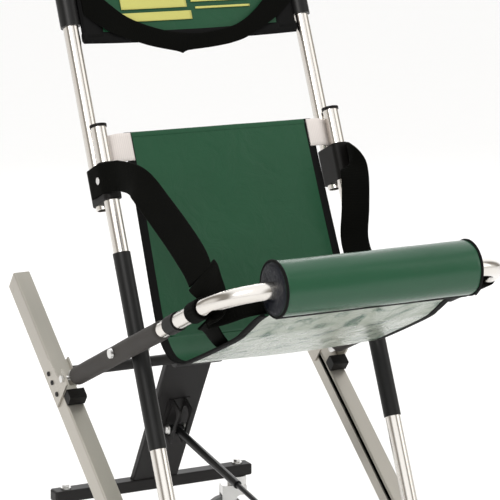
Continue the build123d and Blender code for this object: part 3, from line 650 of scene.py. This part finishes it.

# the straps' last stretch and loose tails stay with the seat frame; the front tail's black band is
# partly a real strap tail and partly painted shade under the arm tube
web("strap_end_right",
    [(-0.2210, 0.472, -0.289), (-0.2200, 0.452, -0.307), (-0.2195, 0.430, -0.314),
     (-0.2225, 0.410, -0.312), (-0.2320, 0.4015, -0.304)], 0.060,
    [(0.0, (0.50, 0.22, -0.84)), (0.45, (0.18, 0, -0.98)), (1.0, (0.05, 0, -1))],
    "seat", ripple=0.0)
web("strap_end_left",
    [(0.2260, 0.463, -0.245), (0.2225, 0.450, -0.264), (0.2222, 0.430, -0.282),
     (0.2245, 0.410, -0.293), (0.2330, 0.4015, -0.297)], 0.046,
    [(0.0, (0.8, 0, -0.6)), (0.6, (0, 0, -1)), (1.0, (0, 0, -1))], "seat", ripple=0.0)
# front tail: a real black strap tail, laid 25 mm wide from the strap loop to the bolster end so that
# it also paints the shade under the arm tube
web("strap_tail_and_painted_shade_front",
    [(-0.2330, 0.4030, -0.299), (-0.2080, 0.4050, -0.313), (-0.180, 0.4095, -0.323),
     (-0.1500, 0.4110, -0.329)], 0.025,
    [(0.0, (0, 1, 0)), (1.0, (0, 1, 0))], "seat", ripple=0.0008)
web("strap_tail_inner",
    [(-0.2300, 0.4020, -0.284), (-0.2050, 0.4010, -0.250), (-0.180, 0.3925, -0.214),
     (-0.158, 0.3870, -0.182), (-0.135, 0.3845, -0.150)], 0.024,
    [(0.0, (0.6, 0.5, -0.6)), (0.5, (0.77, 0, -0.64)), (1.0, (0.77, 0, -0.64))],
    "seat", ripple=0.0008)

# bright nuts outside the slotted cheeks, on the strut's head pin
for side, hand in SIDES:
    nut = lathe("strut_nut_" + side, at(hand * 0.0138, 0.3366, 0.3758), RIGHT * hand,
                [(0.0, 0.0), (0.0, 0.0085), (0.0016, 0.0085), (0.0018, 0.0068), (0.0058, 0.0066),
                 (0.0062, 0.0058), (0.0062, 0.0)], [BRIGHT], sides=24)
    ride_as(nut, "strut_upper")

# ------------------------------------------------------------------ floor, light, camera
bpy.ops.mesh.primitive_plane_add(size=90, location=(0, 0, 0))
floor = bpy.context.object
floor.name = "floor"
floor.data.materials.append(material("floor_pale", (0.955, 0.955, 0.955), rough=0.9, vary=0.003,
                                     bump=0.0, spec=0.05))

world = bpy.data.worlds.new("studio")
bpy.context.scene.world = world
world.use_nodes = True
wt = world.node_tree
coord = wt.nodes.new("ShaderNodeTexCoord")
dot = wt.nodes.new("ShaderNodeVectorMath")
dot.operation = "DOT_PRODUCT"
dot.inputs[1].default_value = (0.887, -0.461, 0.0)
wt.links.new(coord.outputs["Generated"], dot.inputs[0])
size_of = wt.nodes.new("ShaderNodeMath")
size_of.operation = "ABSOLUTE"
wt.links.new(dot.outputs["Value"], size_of.inputs[0])
WHITE, WARM = (1.31, 1.31, 1.31), (0.95, 0.93, 0.90)
bands = wt.nodes.new("ShaderNodeValToRGB")     # dark flags to either side of the chair
for position, tone in ((0.45, WHITE), (0.66, (0.30, 0.28, 0.25)), (0.84, (0.34, 0.32, 0.29)),
                       (0.95, WARM)):
    stop = bands.color_ramp.elements.new(position)
    stop.color = tone + (1,)
bands.color_ramp.elements[0].color = WHITE + (1,)
bands.color_ramp.elements[-1].color = WARM + (1,)
wt.links.new(size_of.outputs[0], bands.inputs["Fac"])
wt.links.new(bands.outputs["Color"], wt.nodes["Background"].inputs["Color"])
wt.nodes["Background"].inputs["Strength"].default_value = 1.0


def area(name, location, target, size, power, color=(1, 1, 1)):
    light = bpy.data.lights.new(name, "AREA")
    light.shape = "SQUARE"
    light.size = size
    light.energy = power
    light.color = color
    ob = bpy.data.objects.new(name, light)
    ob.location = location
    ob.rotation_euler = (Vector(target) - Vector(location)).to_track_quat("-Z", "Y").to_euler()
    bpy.context.scene.collection.objects.link(ob)


area("key", (-2.2, -2.0, 3.2), (0, 0, 0.6), 1.6, 46, (1.0, 0.98, 0.95))
area("fill", (2.6, -1.8, 2.2), (0, 0, 0.5), 2.2, 16)
area("rim", (0.8, 2.8, 2.6), (0, 0, 0.7), 2.0, 26)

cam = bpy.data.cameras.new("camera")
cam.lens = 172.53
cam.sensor_width = 36.0
cam.shift_x = -0.0014
cam.shift_y = -0.0111
cam.clip_end = 200
cam_ob = bpy.data.objects.new("camera", cam)
cam_ob.location = (-1.71453, -3.28812, 1.36709)
cam_ob.rotation_euler = (math.radians(90 - 11.44), 0, math.radians(-27.46))
bpy.context.scene.collection.objects.link(cam_ob)
bpy.context.scene.camera = cam_ob
bpy.context.scene.view_settings.view_transform = "Standard"
